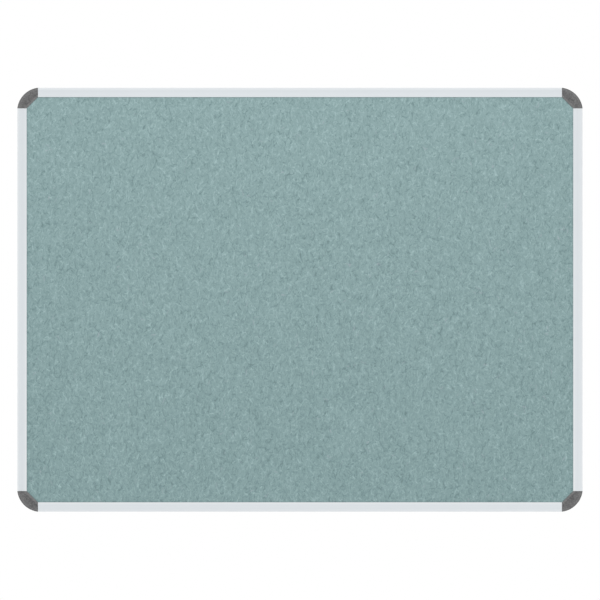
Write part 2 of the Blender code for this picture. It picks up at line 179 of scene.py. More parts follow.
def meshPiece(name, mesh, material):
    data = bpy.data.meshes.new(name)
    mesh.to_mesh(data)
    mesh.free()
    data.materials.append(material)
    piece = bpy.data.objects.new(name, data)
    bpy.context.scene.collection.objects.link(piece)
    data.shade_smooth()
    data.set_sharp_from_angle(angle=math.radians(smoothBelow))
    return piece


def dress(node, material):
    for slot in cadNodes[node].material_slots:
        slot.material = material


# effects that several finishes share

strands = {
    "detail": 1.0,
    "roughness": 0.5,
    "breakScale": 1.1,  # of the noise that breaks the strands into lengths, against their own
    "breakShift": 7.3,
    "breakFade": 0.10,
}


def makeCurls():
    # curling strands: thin lines where a noise crosses its middle, broken into lengths
    inputs = {"Scale": 100.0, "Width": 0.1, "Cover": 0.5, "Curl": 1.2, "Shift": 0.0}
    group, given, made = newGroup("curlingStrands", inputs, ("Strands",))
    place, scale, shift = (given.outputs[label] for label in ("Place", "Scale", "Shift"))
    lines = noiseNode(group, (-4, 1), place, scale, strands["detail"], strands["roughness"],
                      given.outputs["Curl"], shift)
    lines = mathNode(group, (-3, 1), "SUBTRACT", lines, noiseMiddle)
    fromMiddle = mathNode(group, (-2, 1), "ABSOLUTE", lines)
    thin = rangeNode(group, (-1, 1), fromMiddle, 0.0, given.outputs["Width"], 1.0, 0.0)
    breakScale = mathNode(group, (-6, -1), "MULTIPLY", scale, strands["breakScale"])
    breakShift = mathNode(group, (-6, -2), "ADD", shift, strands["breakShift"])
    breaks = noiseNode(group, (-5, -1), place, breakScale, detail=0.0, shift=breakShift)
    gap = mathNode(group, (-3, -2), "SUBTRACT", 1.0, given.outputs["Cover"])
    gapEnd = mathNode(group, (-2, -2), "ADD", gap, strands["breakFade"])
    shown = rangeNode(group, (-1, -1), breaks, gap, gapEnd)
    feed(group, made.inputs["Strands"], mathNode(group, (2, 0), "MULTIPLY", thin, shown))
    return group


looseFibre = {
    "wander": (0.8, 1.0),  # scale and detail of the noise that moves the cells about
    "pull": (0.9, 0.9, 0.0),  # how far it moves them
    "straight": 0.5,  # the lot at which a fibre doesn't bend
    "shortest": 0.5,  # as a share of the full length
    "tip": 0.6,  # where a fibre starts to thin out, as a share of its reach
    "fullWidth": 0.25,  # share of its width over which it is full
    "showLot": 17.3,  # these two draw further lots from those of a cell
    "toneLot": 29.7,
}


def makeLooseFibres():
    # one short bent fibre in each cell of a scatter over the face, with its own lean, bend and tone
    inputs = {"Scale": 100.0, "Length": 0.8, "Width": 0.12, "Bend": 2.0, "Share": 0.95, "Shift": 0.0}
    group, given, made = newGroup("looseFibres", inputs, ("Fibres", "Tone"))
    scale, shift = given.outputs["Scale"], given.outputs["Shift"]
    split = addNode(group, "ShaderNodeSeparateXYZ", (-13, 0))
    feed(group, split.inputs[0], given.outputs["Place"])
    flat = addNode(group, "ShaderNodeCombineXYZ", (-11, 0))
    for row, (source, target) in enumerate((("X", "X"), ("Z", "Y"))):
        spread = mathNode(group, (-12, row), "MULTIPLY_ADD", split.outputs[source], scale, shift)
        feed(group, flat.inputs[target], spread)
    wander = addNode(group, "ShaderNodeTexNoise", (-10, 2), noise_dimensions="2D")
    for key, value in zip(("Scale", "Detail"), looseFibre["wander"]):
        feed(group, wander.inputs[key], value)
    feed(group, wander.inputs["Vector"], flat.outputs[0])
    pull = looseFibre["pull"]
    pulled = vectorNode(group, (-9, 1), "MULTIPLY_ADD", wander.outputs["Color"], pull, flat.outputs[0])
    cells = addNode(group, "ShaderNodeTexVoronoi", (-8, 0), voronoi_dimensions="2D", feature="F1")
    feed(group, cells.inputs["Scale"], 1.0)
    feed(group, cells.inputs["Vector"], pulled)
    fromCell = vectorNode(group, (-7, 0), "SUBTRACT", pulled, cells.outputs["Position"])
    chance = addNode(group, "ShaderNodeSeparateColor", (-7, -2))
    feed(group, chance.inputs[0], cells.outputs["Color"])
    turned = addNode(group, "ShaderNodeVectorRotate", (-5, 0), rotation_type="Z_AXIS")
    feed(group, turned.inputs["Vector"], fromCell)
    feed(group, turned.inputs["Angle"], mathNode(group, (-6, -2), "MULTIPLY", chance.outputs["Red"], math.pi))
    local = addNode(group, "ShaderNodeSeparateXYZ", (-4, 0))
    feed(group, local.inputs[0], turned.outputs[0])
    along = mathNode(group, (-3, 1), "ABSOLUTE", local.outputs["X"])
    lean = mathNode(group, (-4, -2), "SUBTRACT", chance.outputs["Green"], looseFibre["straight"])
    arch = mathNode(group, (-3, -2), "MULTIPLY", mathNode(group, (-4, -3), "MULTIPLY", along, along), lean)
    beside = mathNode(group, (-3, 0), "MULTIPLY_ADD", arch, given.outputs["Bend"], local.outputs["Y"])
    beside = mathNode(group, (-2, 0), "ABSOLUTE", beside)
    shortest = looseFibre["shortest"]
    ownLength = mathNode(group, (-3, -4), "MULTIPLY_ADD", chance.outputs["Blue"], 1 - shortest, shortest)
    reach = mathNode(group, (-2, -4), "MULTIPLY", ownLength, given.outputs["Length"])
    tip = mathNode(group, (-2, -5), "MULTIPLY", reach, looseFibre["tip"])
    full = mathNode(group, (-2, -6), "MULTIPLY", given.outputs["Width"], looseFibre["fullWidth"])
    body = rangeNode(group, (-1, 1), along, tip, reach, 1.0, 0.0)
    side = rangeNode(group, (-1, 0), beside, full, given.outputs["Width"], 1.0, 0.0)
    lot = mathNode(group, (-6, -4), "MULTIPLY", chance.outputs["Green"], looseFibre["showLot"])
    lot = mathNode(group, (-5, -4), "FRACT", lot)
    there = mathNode(group, (-1, -3), "LESS_THAN", lot, given.outputs["Share"])
    shape = mathNode(group, (1, 0), "MULTIPLY", mathNode(group, (0, 0), "MULTIPLY", body, side), there)
    feed(group, made.inputs["Fibres"], shape)
    tone = mathNode(group, (-6, -5), "MULTIPLY", chance.outputs["Blue"], looseFibre["toneLot"])
    feed(group, made.inputs["Tone"], mathNode(group, (-5, -5), "FRACT", tone))
    return group


mouldGrain = {
    "fine": (2.0, 0.6),  # detail and roughness
    "pitScale": 0.37,  # against the scale of the fine grain
    "pitDepth": 0.6,
    "tone": (300.0, 4.0, 0.9),
}


def makeMouldGrain():
    # the fine spark-eroded texture of a moulding, and the mottle of its tone
    group, given, made = newGroup("mouldGrain", {"Grain": 2200.0}, ("Height", "Tone"))
    place, grain = given.outputs["Place"], given.outputs["Grain"]
    fine = noiseNode(group, (-3, 1), place, grain, *mouldGrain["fine"])
    pitScale = mathNode(group, (-4, 0), "MULTIPLY", grain, mouldGrain["pitScale"])
    pits = noiseNode(group, (-3, 0), place, pitScale, detail=1.0)
    height = mathNode(group, (0, 1), "MULTIPLY_ADD", pits, mouldGrain["pitDepth"], fine)
    feed(group, made.inputs["Height"], height)
    feed(group, made.inputs["Tone"], noiseNode(group, (-3, -1), place, *mouldGrain["tone"]))
    return group


handling = {
    "smears": (28.0, 4.0, 0.6, 1.2),
    "smearSpan": (0.42, 0.72),  # the part of the noise's range over which smears come in
    "oneWay": (900.0, 900.0, 40.0),  # stretch of the scratches that run up, and then of those across
    "otherWay": (60.0, 700.0, 900.0),
    "scratch": (1.0, 0.0, 0.5, 0.3),
    "oneWaySpan": (0.74, 0.82),
    "otherWaySpan": (0.75, 0.83),
    "specks": (1300.0, 1.0),
    "drifts": (40.0, 3.0, 0.6),
    "dustSpan": (0.26, 0.42),
}


def makeHandling():
    # what use leaves: faint smears, fine scratches that cross each other, and settled dust
    group, given, made = newGroup("handling", {"Scratched": 0.5}, ("Smears", "Scratches", "Dust"))
    place = given.outputs["Place"]
    smears = noiseNode(group, (-3, 2), place, *handling["smears"])
    feed(group, made.inputs["Smears"], rangeNode(group, (-1, 2), smears, *handling["smearSpan"]))
    crossed = 0.0
    for row, way in ((0, "oneWay"), (-1, "otherWay")):
        drawn = stretched(group, (-4, row), place, handling[way])
        drawn = noiseNode(group, (-3, row), drawn, *handling["scratch"])
        drawn = rangeNode(group, (-1, row), drawn, *handling[f"{way}Span"])
        crossed = mathNode(group, (1, row), "MAXIMUM", drawn, crossed)
    crossed = mathNode(group, (2, 0), "MULTIPLY", crossed, given.outputs["Scratched"])
    feed(group, made.inputs["Scratches"], crossed)
    specks = noiseNode(group, (-3, -3), place, *handling["specks"])
    drifts = noiseNode(group, (-3, -4), place, *handling["drifts"])
    settled = mathNode(group, (0, -3), "MULTIPLY", specks, drifts)
    feed(group, made.inputs["Dust"], rangeNode(group, (1, -3), settled, *handling["dustSpan"]))
    return group


edgeWear = {
    "samples": 4,
    "match": (0.80, 0.99),  # of the rounded normal with the face's: full wear below, none above
    "rub": (300.0, 2.0, 0.6),
    "rubSpan": (0.35, 0.6),
    "least": 0.5,  # share of the wear where the rubbing is weakest
}


def makeEdgeWear():
    # 1 along the sharp edges of a piece, from how far a rounded normal leans away from the face
    group, given, made = newGroup("edgeWear", {"Radius": 0.0005}, ("Edge",))
    rounded = addNode(group, "ShaderNodeBevel", (-4, 0), samples=edgeWear["samples"])
    feed(group, rounded.inputs["Radius"], given.outputs["Radius"])
    face = addNode(group, "ShaderNodeNewGeometry", (-4, -2))
    match = vectorNode(group, (-2, 0), "DOT_PRODUCT", rounded.outputs["Normal"], face.outputs["Normal"])
    rub = noiseNode(group, (-2, -2), given.outputs["Place"], *edgeWear["rub"])
    edge = rangeNode(group, (0, 0), match, *edgeWear["match"], 1.0, 0.0)
    uneven = rangeNode(group, (0, -2), rub, *edgeWear["rubSpan"], edgeWear["least"], 1.0)
    feed(group, made.inputs["Edge"], mathNode(group, (2, 0), "MULTIPLY", edge, uneven))
    return group


curlGroup = makeCurls()
fibreGroup = makeLooseFibres()
grainGroup = makeMouldGrain()
handlingGroup = makeHandling()
edgeGroup = makeEdgeWear()


# felt cover

felt = {
    "gridStep": 0.0042,
    "hummock": 0.00013,  # slow rise and fall of the face
    "hummocks": ((22, 0.65), (70, 0.35)),  # scale and share of the two noises that make it up
    "nap": 0.00006,  # unevenness from one point to the next
    # how far it stands out past the part that the frame holds down: at once, and with a slow rise
    "swell": (0.00033, 0.0004),
    "swellReach": (0.00025, 0.0030),  # how far in from the frame each of the two has risen
    "swellCuts": (0.0, 0.00025, 0.0008, 0.0013, 0.0019, 0.0030),  # where rows of points are added
    "seed": 11,
    "darkFibre": (0.172, 0.268, 0.272),
    "paleFibre": (0.372, 0.520, 0.525),
    "oddFibre": (0.400, 0.440, 0.500),
    "middle": 0.44,  # tone halfway up, from dark to pale
    "grain": (1.3, 1.0, 0.88),  # the fibres lie a little more upright than level
    "mottleRoughness": 0.55,
    "mottleShift": 0.37,  # of a noise, for each row of nodes
    # scale, detail, curl, contrast
    "mottle": ((14, 2, 0.0, 0.065), (75, 2, 0.3, 0.165), (520, 2, 0.0, 0.15)),
    # scale, width, cover, shift, contrast, relief
    "curls": ((92, 0.09, 0.54, 1.0, 0.18, 1.0), (112, 0.09, 0.52, 4.0, -0.16, 1.0),
              (430, 0.045, 0.62, 9.0, 0.13, 0.03), (520, 0.045, 0.62, 12.0, -0.13, 0.03)),
    # scale, width in shares of a cell, contrast, layer upon layer
    "fibres": ((66, 0.13, 0.325), (80, 0.13, 0.325), (98, 0.13, 0.325), (122, 0.13, 0.325),
               (148, 0.13, 0.325), (210, 0.022, 0.16), (270, 0.026, 0.16)),
    "fibreLength": 0.8,
    "fibreShift": (3.0, -14.3),  # of a layer of fibres: at row 0 of the nodes, and for each row above it
    "fibreRelief": 0.2,
    "odd": {"Scale": 95.0, "Width": 0.11, "Share": 0.025, "Shift": 171.0},
    "oddContrast": 0.45,
    "relief": 0.00022,
    "roughness": (0.88, 1.0),
    "sheen": 0.25,
    "sheenRoughness": 0.5,
    "sheenTint": (0.80, 0.92, 0.92),
    "shine": 0.15,
    "paintedTopLight": 0.062,  # how much paler the felt is at its top than halfway up: painted light from above, so darker towards the bottom
}


def feltMaterial():
    material, tree, shader = newMaterial("felt_needled")
    place = stretched(tree, (-11, 0), objectPlace(tree, (-12, 0)), felt["grain"])
    upright = addNode(tree, "ShaderNodeSeparateXYZ", (-11, 10))
    feed(tree, upright.inputs[0], objectPlace(tree, (-12, 10)))
    # the tone starts as a painted light gradient, paler at the top and darker at the bottom
    tone = rangeNode(tree, (-9, 10), upright.outputs["Z"], cadLow.z, cadHigh.z,
                     felt["middle"] - felt["paintedTopLight"], felt["middle"] + felt["paintedTopLight"], smooth=False)
    relief, row = 0.0, 8
    for scale, detail, curl, contrast in felt["mottle"]:
        cloud = noiseNode(tree, (-9, row), place, scale, detail, felt["mottleRoughness"], curl,
                          felt["mottleShift"] * row)
        lift = mathNode(tree, (-8, row), "MULTIPLY_ADD", cloud, contrast, -noiseMiddle * contrast)
        tone, row = mathNode(tree, (-7, row), "ADD", tone, lift), row - 1
    tufts = cloud
    for scale, width, cover, shift, contrast, height in felt["curls"]:
        curls = useGroup(tree, curlGroup, (-9, row), place,
                         Scale=scale, Width=width, Cover=cover, Shift=shift)["Strands"]
        tone, row = mathNode(tree, (-7, row), "MULTIPLY_ADD", curls, contrast, tone), row - 1
        relief = mathNode(tree, (-6, row), "MULTIPLY_ADD", curls, height, relief)
    shift, shiftStep = felt["fibreShift"]
    for scale, width, contrast in felt["fibres"]:
        fibres = useGroup(tree, fibreGroup, (-9, row), place, Scale=scale, Length=felt["fibreLength"],
                          Width=width, Shift=shift + shiftStep * row)
        lift = mathNode(tree, (-8, row), "MULTIPLY_ADD", fibres["Tone"], 2 * contrast, -contrast)
        tone, row = mathNode(tree, (-7, row), "MULTIPLY_ADD", fibres["Fibres"], lift, tone), row - 1
    relief = mathNode(tree, (-6, row), "ADD", relief, tufts)
    relief = mathNode(tree, (-5, row), "MULTIPLY_ADD", fibres["Fibres"], felt["fibreRelief"], relief)
    colour = mixColour(tree, (-3, 1), tone, felt["darkFibre"], felt["paleFibre"])
    odd = useGroup(tree, fibreGroup, (-5, 3), place, **felt["odd"])
    odd = mathNode(tree, (-3, 3), "MULTIPLY", odd["Fibres"], felt["oddContrast"])
    colour = mixColour(tree, (-2, 1), odd, colour, felt["oddFibre"])
    feed(tree, shader.inputs["Base Color"], colour)
    rough = rangeNode(tree, (-2, -1), tufts, *noiseSpan, *felt["roughness"])
    feed(tree, shader.inputs["Roughness"], rough)
    feed(tree, shader.inputs["Normal"], bumpNode(tree, (-2, -3), relief, felt["relief"]))
    feed(tree, shader.inputs["Sheen Weight"], felt["sheen"])
    feed(tree, shader.inputs["Sheen Roughness"], felt["sheenRoughness"])
    feed(tree, shader.inputs["Sheen Tint"], felt["sheenTint"])
    feed(tree, shader.inputs["Specular IOR Level"], felt["shine"])
    return material


def inFromFrame(point):
    # how far a point of the face lies in from the frame's inner edge, less than 0 where it is covered
    across, up = edgeX - abs(point.x), edgeZ - abs(point.z)
    return min(across - faceWidth, up - faceWidth, (across + up - capDiagonal) / math.sqrt(2))


def swellFelt(mesh):
    # held down by the frame and risen in the open; first the rows of points that the rise needs
    for distance in felt["swellCuts"]:
        cuts = []
        for side in (-1, 1):
            cuts.append((Vector((side * (edgeX - faceWidth - distance), 0, 0)), Vector((1, 0, 0))))
            cuts.append((Vector((0, 0, side * (edgeZ - faceWidth - distance))), Vector((0, 0, 1))))
            for sideZ in (-1, 1):
                through = Vector((side * (edgeX - capDiagonal - distance * math.sqrt(2)), 0, sideZ * edgeZ))
                cuts.append((through, Vector((side, 0, sideZ)).normalized()))
        for through, across in cuts:
            everything = mesh.verts[:] + mesh.edges[:] + mesh.faces[:]
            bmesh.ops.bisect_plane(mesh, geom=everything, dist=sameWithin, plane_co=through, plane_no=across)
    for point in mesh.verts:
        inwards = inFromFrame(point.co)
        for height, reach in zip(felt["swell"], felt["swellReach"]):
            risen = min(max(inwards / reach, 0.0), 1.0)
            point.co.y -= height * risen * risen * (3 - 2 * risen)


def clippedCorner(node):
    # how much of each straight side a panel layer loses to its clipped corners
    low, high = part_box(node)
    onTop = [point.co.x for point in cadNodes[node].data.vertices if point.co.z > high.z - levelWithin]
    return high.x - max(onTop)


def makeFelt():
    low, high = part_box("felt_cover")
    clip = clippedCorner("felt_cover")
    across = round((high.x - low.x) / felt["gridStep"])
    up = round((high.z - low.z) / felt["gridStep"])
    mesh = bmesh.new()
    # a grid 1 wide and 1 high, stretched to the felt's size
    bmesh.ops.create_grid(mesh, x_segments=across, y_segments=up, size=0.5)
    for point in mesh.verts:
        point.co = Vector((point.co.x * (high.x - low.x), low.y, point.co.y * (high.z - low.z)))
    for sideX in (-1, 1):
        for sideZ in (-1, 1):
            through = Vector((sideX * ((high.x - low.x) / 2 - clip), 0, sideZ * (high.z - low.z) / 2))
            bmesh.ops.bisect_plane(
                mesh, geom=mesh.verts[:] + mesh.edges[:] + mesh.faces[:], dist=sameWithin,
                plane_co=through, plane_no=Vector((sideX, 0, sideZ)).normalized(), clear_outer=True,
            )
    source = random.Random(felt["seed"])
    for point in mesh.verts:
        if not point.is_boundary:
            slow = sum(noise.noise(point.co * scale) * share for scale, share in felt["hummocks"])
            point.co.y += felt["hummock"] * slow + felt["nap"] * source.uniform(-1, 1)
    swellFelt(mesh)
    rim = [edge for edge in mesh.edges if edge.is_boundary]
    grown = bmesh.ops.extrude_edge_only(mesh, edges=rim)
    backEdges = [item for item in grown["geom"] if isinstance(item, bmesh.types.BMEdge) and item.is_boundary]
    for point in {point for edge in backEdges for point in edge.verts}:
        point.co.y = high.y
    middle = mesh.verts.new((0, high.y, 0))
    for edge in backEdges:
        mesh.faces.new((edge.verts[0], edge.verts[1], middle))
    bmesh.ops.recalc_face_normals(mesh, faces=mesh.faces)
    piece = meshPiece("felt_sheet", mesh, feltMaterial())
    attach(piece, "board")
    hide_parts("felt_cover")
    return piece


feltPiece = makeFelt()
print("felt made:", len(feltPiece.data.polygons), "faces")


# aluminium rails

rails = {
    "dullLine": (0.742, 0.783, 0.811),
    "brightLine": (0.769, 0.810, 0.839),
    "bareOrHighlight": (0.88, 0.90, 0.91),  # where the anodising is rubbed, and the colour of the painted highlights along the lip and outer edge
    "scratched": 0.25,  # how much of the bare metal shows in scratches
    "rubbedEdge": 0.80,  # and along sharp edges
    # a painted highlight along the lip, in the bare metal colour: none past the first distance from its edge,
    # all at the second
    "paintedLipHighlight": (0.0042, 0.0030),
    "lipHighlightShares": (0.55, 0.12),  # how much at the bottom of the board, a brighter painted highlight for light from above, and at the top
    "paintedOuterHighlight": (0.0052, 0.0030, 0.28),  # the same painted highlight along the outer edge, and how much
    "roughness": (0.29, 0.39),
    "smeared": 0.06,  # what a smear adds to the roughness
    "edgeShine": -0.08,  # and what a rubbed edge does
    "scratchShare": 0.6,
    "edgeRadius": 0.0005,
    "drawLines": 0.000004,  # depth of the lines that the extrusion die leaves
    "lineScales": (2600.0, 1.5),  # across the lines and along them
    "lines": (1.0, 3.0, 0.6),
    "bandShare": 0.12,  # scale of the broad bands, as a share of that of the lines
}


def railMaterial(name, alongX):
    material, tree, shader = newMaterial(name)
    place = objectPlace(tree, (-9, 0))
    fine, slow = rails["lineScales"]
    stretch = (slow, fine, fine) if alongX else (fine, fine, slow)
    lines = noiseNode(tree, (-6, 2), stretched(tree, (-7, 2), place, stretch), *rails["lines"])
    broad = tuple(value * rails["bandShare"] for value in stretch)
    bands = noiseNode(tree, (-6, 1), stretched(tree, (-7, 1), place, broad), scale=1.0)
    wear = useGroup(tree, handlingGroup, (-6, -1), place, Scratched=rails["scratchShare"])
    edge = useGroup(tree, edgeGroup, (-6, -3), place, Radius=rails["edgeRadius"])["Edge"]
    bands = rangeNode(tree, (-3, 2), bands, *noiseSpan)
    colour = mixColour(tree, (-2, 2), bands, rails["dullLine"], rails["brightLine"])
    scratched = mathNode(tree, (-3, 1), "MULTIPLY", wear["Scratches"], rails["scratched"])
    edgeRub = mathNode(tree, (-3, 0), "MULTIPLY", edge, rails["rubbedEdge"])
    rubbed = mathNode(tree, (-2, 1), "MAXIMUM", scratched, edgeRub)
    # painted highlights along the lip and the outer edge, stronger towards the bottom for light from above
    split = addNode(tree, "ShaderNodeSeparateXYZ", (-8, 5))
    feed(tree, split.inputs[0], vectorNode(tree, (-9, 5), "ABSOLUTE", place))
    outer, cross = (edgeZ, "Z") if alongX else (edgeX, "X")
    fromLip = mathNode(tree, (-7, 5), "SUBTRACT", split.outputs[cross], outer - faceWidth)
    upright = addNode(tree, "ShaderNodeSeparateXYZ", (-8, 6))
    feed(tree, upright.inputs[0], place)
    share = rangeNode(tree, (-7, 6), upright.outputs["Z"], -edgeZ, edgeZ, *rails["lipHighlightShares"], smooth=False)
    paintedLipHighlight = rangeNode(tree, (-6, 5), fromLip, *rails["paintedLipHighlight"], 0.0, share)
    fromEdge = mathNode(tree, (-7, 4), "SUBTRACT", outer, split.outputs[cross])
    start, full, share = rails["paintedOuterHighlight"]
    paintedOuterHighlight = rangeNode(tree, (-6, 4), fromEdge, start, full, 0.0, share)
    paintedEdgeLight = mathNode(tree, (-2, 4), "MAXIMUM", paintedLipHighlight, paintedOuterHighlight)
    # rubbed now holds the painted highlights as well as the scratches and worn edges
    rubbed = mathNode(tree, (-1, 1), "MAXIMUM", rubbed, paintedEdgeLight)
    feed(tree, shader.inputs["Base Color"], mixColour(tree, (-1, 2), rubbed, colour, rails["bareOrHighlight"]))
    rough = rangeNode(tree, (-4, 0), lines, *noiseSpan, *rails["roughness"], smooth=False)
    rough = mathNode(tree, (-3, 0), "MULTIPLY_ADD", wear["Smears"], rails["smeared"], rough)
    rough = mathNode(tree, (-2, 0), "MULTIPLY_ADD", edge, rails["edgeShine"], rough)
    feed(tree, shader.inputs["Roughness"], rough)
    feed(tree, shader.inputs["Normal"], bumpNode(tree, (-1, -1), lines, rails["drawLines"]))
    feed(tree, shader.inputs["Metallic"], 1.0)
    return material


acrossFinish = railMaterial("aluminium_across", True)
uprightFinish = railMaterial("aluminium_upright", False)
for railName, finish in (("rail_bottom", acrossFinish), ("rail_top", acrossFinish),
                         ("rail_left", uprightFinish), ("rail_right", uprightFinish)):
    dress(railName, finish)
print("rails finished")


# moulded corners

moulded = {
    "grainScale": 2200.0,
    "scratchShare": 0.35,
    "edgeRadius": 0.0006,
    "edgeShare": 0.5,  # of the rubbed colour along a sharp edge
    "dustShare": 0.10,
    "smearShine": -0.07,  # what a smear adds to the roughness, and then what a scratch does
    "scratchShine": -0.15,
}
caps = {
    "colour": (0.060, 0.060, 0.061),
    # the rubbed colour is also the colour of the cap's painted highlights
    "rubbed": (0.180, 0.180, 0.181),
    "evenTone": 0.41,  # share of the rubbed colour where nothing has rubbed and no highlight is painted
    "mottled": 0.85,
    "dust": (0.32, 0.31, 0.29),
    "roughness": 0.50,
    "grain": 0.000012,
    "roundCentre": 0.0495,  # centre of the round edge, in from the two outer edges
    "roundRadius": 0.050,
    # painted highlights, each with where it begins, where it is full, and its share of the rubbed colour:
    "paintedRoundHighlight": (0.0073, 0.0046, 0.77),  # a painted highlight in from the round edge
    "paintedCrownLight": (0.0145, 0.0110, 0.53),  # a painted lighter crown, over most of the front
    "paintedRimShade": (0.0005, 0.0026),  # and where the painted highlight ends again, out towards the edge: painted shade at the rim
    "paintedBrowHighlight": (0.0520, 0.0613, 1.0),  # a painted highlight up to the edge beside the felt, as sums of both distances
}
connectors = {
    "colour": (0.050, 0.050, 0.052),
    "rubbed": (0.085, 0.085, 0.087),
    "evenTone": 0.15,
    "mottled": 0.30,
    "dust": (0.32, 0.31, 0.29),
    "roughness": 0.58,
    "grain": 0.000016,
}


def paintedEdgeHighlights(tree, place):
    # painted highlight round a cap's outer edge and along the edge beside the felt, painted shade at its rim
    split = addNode(tree, "ShaderNodeSeparateXYZ", (-12, 6))
    feed(tree, split.inputs[0], vectorNode(tree, (-13, 6), "ABSOLUTE", place))
    across = mathNode(tree, (-11, 6), "SUBTRACT", edgeX, split.outputs["X"])
    up = mathNode(tree, (-11, 5), "SUBTRACT", edgeZ, split.outputs["Z"])
    fromCentre = addNode(tree, "ShaderNodeCombineXYZ", (-9, 6))
    for axis, distance in (("X", across), ("Z", up)):
        offset = mathNode(tree, (-10, 6), "SUBTRACT", distance, caps["roundCentre"])
        feed(tree, fromCentre.inputs[axis], offset)
    radius = vectorNode(tree, (-8, 6), "LENGTH", fromCentre.outputs[0])
    inside = mathNode(tree, (-7, 6), "SUBTRACT", caps["roundRadius"], radius)
    both = mathNode(tree, (-9, 5), "ADD", across, up)
    bands = []
    for row, distance, band in ((7, inside, "paintedRoundHighlight"), (6, inside, "paintedCrownLight"), (5, both, "paintedBrowHighlight")):
        start, full, share = caps[band]
        bands.append(rangeNode(tree, (-6, row), distance, start, full, 0.0, share))
    rim, paintedCrownLight, brow = bands
    inner = mathNode(tree, (-5, 6), "MAXIMUM", rim, paintedCrownLight)
    inner = mathNode(tree, (-5, 7), "MULTIPLY", inner, rangeNode(tree, (-6, 8), inside, *caps["paintedRimShade"]))
    return mathNode(tree, (-4, 6), "MAXIMUM", inner, brow)


def mouldedMaterial(name, facts, bands=False):
    material, tree, shader = newMaterial(name)
    place = objectPlace(tree, (-9, 0))
    grain = useGroup(tree, grainGroup, (-6, 1), place, Grain=moulded["grainScale"])
    wear = useGroup(tree, handlingGroup, (-6, -1), place, Scratched=moulded["scratchShare"])
    edge = useGroup(tree, edgeGroup, (-6, -3), place, Radius=moulded["edgeRadius"])["Edge"]
    tone = facts["evenTone"]
    # painted highlights on the cap's edges lift its tone
    if bands:
        tone = mathNode(tree, (-5, 3), "MAXIMUM", paintedEdgeHighlights(tree, place), tone)
    mottled = facts["mottled"]
    mottle = rangeNode(tree, (-5, 2), grain["Tone"], *noiseSpan, -mottled, mottled, smooth=False)
    tone = mathNode(tree, (-4, 2), "ADD", mottle, tone)
    colour = mixColour(tree, (-3, 2), tone, facts["colour"], facts["rubbed"])
    edgeRub = mathNode(tree, (-3, 1), "MULTIPLY", edge, moulded["edgeShare"])
    colour = mixColour(tree, (-2, 2), edgeRub, colour, facts["rubbed"])
    dusty = mathNode(tree, (-3, -1), "MULTIPLY", wear["Dust"], moulded["dustShare"])
    feed(tree, shader.inputs["Base Color"], mixColour(tree, (-1, 2), dusty, colour, facts["dust"]))
    rough = mathNode(tree, (-3, 0), "MULTIPLY_ADD", wear["Smears"], moulded["smearShine"], facts["roughness"])
    rough = mathNode(tree, (-2, 0), "MULTIPLY_ADD", wear["Scratches"], moulded["scratchShine"], rough)
    feed(tree, shader.inputs["Roughness"], rough)
    feed(tree, shader.inputs["Normal"], bumpNode(tree, (-1, -1), grain["Height"], facts["grain"]))
    return material


capFinish = mouldedMaterial("plastic_cap", caps, bands=True)
connectorFinish = mouldedMaterial("plastic_connector", connectors)
for level, side in corners:
    dress(f"corner_cap_{level}_{side}", capFinish)
    dress(f"corner_connector_{level}_{side}", connectorFinish)
print("corners finished")


# soft fibreboard core and its card backing

core = {
    "colour": (0.38, 0.27, 0.165),
    "chip": (0.54, 0.42, 0.29),
    "chips": {"Scale": 260.0, "Width": 0.10, "Cover": 0.6, "Shift": 2.0},
    "chipShare": 0.6,
    "mottle": (420.0, 4.0, 0.65, 0.5),
    "mottleSpan": (0.3, 0.75),
    "roughness": (0.85, 0.98),
    "relief": 0.0004,
}
card = {
    "colour": (0.44, 0.44, 0.43),
    "fibre": (0.56, 0.55, 0.53),
    "speck": (0.30, 0.29, 0.27),
    "paleFibres": {"Scale": 170.0, "Width": 0.06, "Share": 0.8, "Shift": 5.0},
    "darkFibres": {"Scale": 120.0, "Width": 0.045, "Share": 0.7, "Shift": 45.0},
    "paleShare": 0.5,
    "darkShare": 0.35,
    "clouds": (9.0, 4.0, 0.6, 0.6),
    "cloudShare": 0.35,
    "pulp": (900.0, 3.0, 0.6),
    "pulpSpan": (0.35, 0.7),
    "pulpShare": 0.16,
    "roughness": (0.70, 0.88),
    "relief": 0.00006,
}


def fibreboardMaterial():
    material, tree, shader = newMaterial("fibreboard_soft")
    place = objectPlace(tree, (-9, 0))
    chips = useGroup(tree, curlGroup, (-6, 1), place, **core["chips"])
    mottle = noiseNode(tree, (-6, 0), place, *core["mottle"])
    patches = rangeNode(tree, (-3, 0), mottle, *core["mottleSpan"])
    colour = mixColour(tree, (-2, 1), patches, core["colour"], core["chip"])
    pale = mathNode(tree, (-2, 0), "MULTIPLY", chips["Strands"], core["chipShare"])
    colour = mixColour(tree, (-1, 1), pale, colour, core["chip"])
    rough = rangeNode(tree, (-1, -1), mottle, *noiseSpan, *core["roughness"])
    feed(tree, shader.inputs["Base Color"], colour)
    feed(tree, shader.inputs["Roughness"], rough)
    feed(tree, shader.inputs["Normal"], bumpNode(tree, (-1, -2), mottle, core["relief"]))
    return material


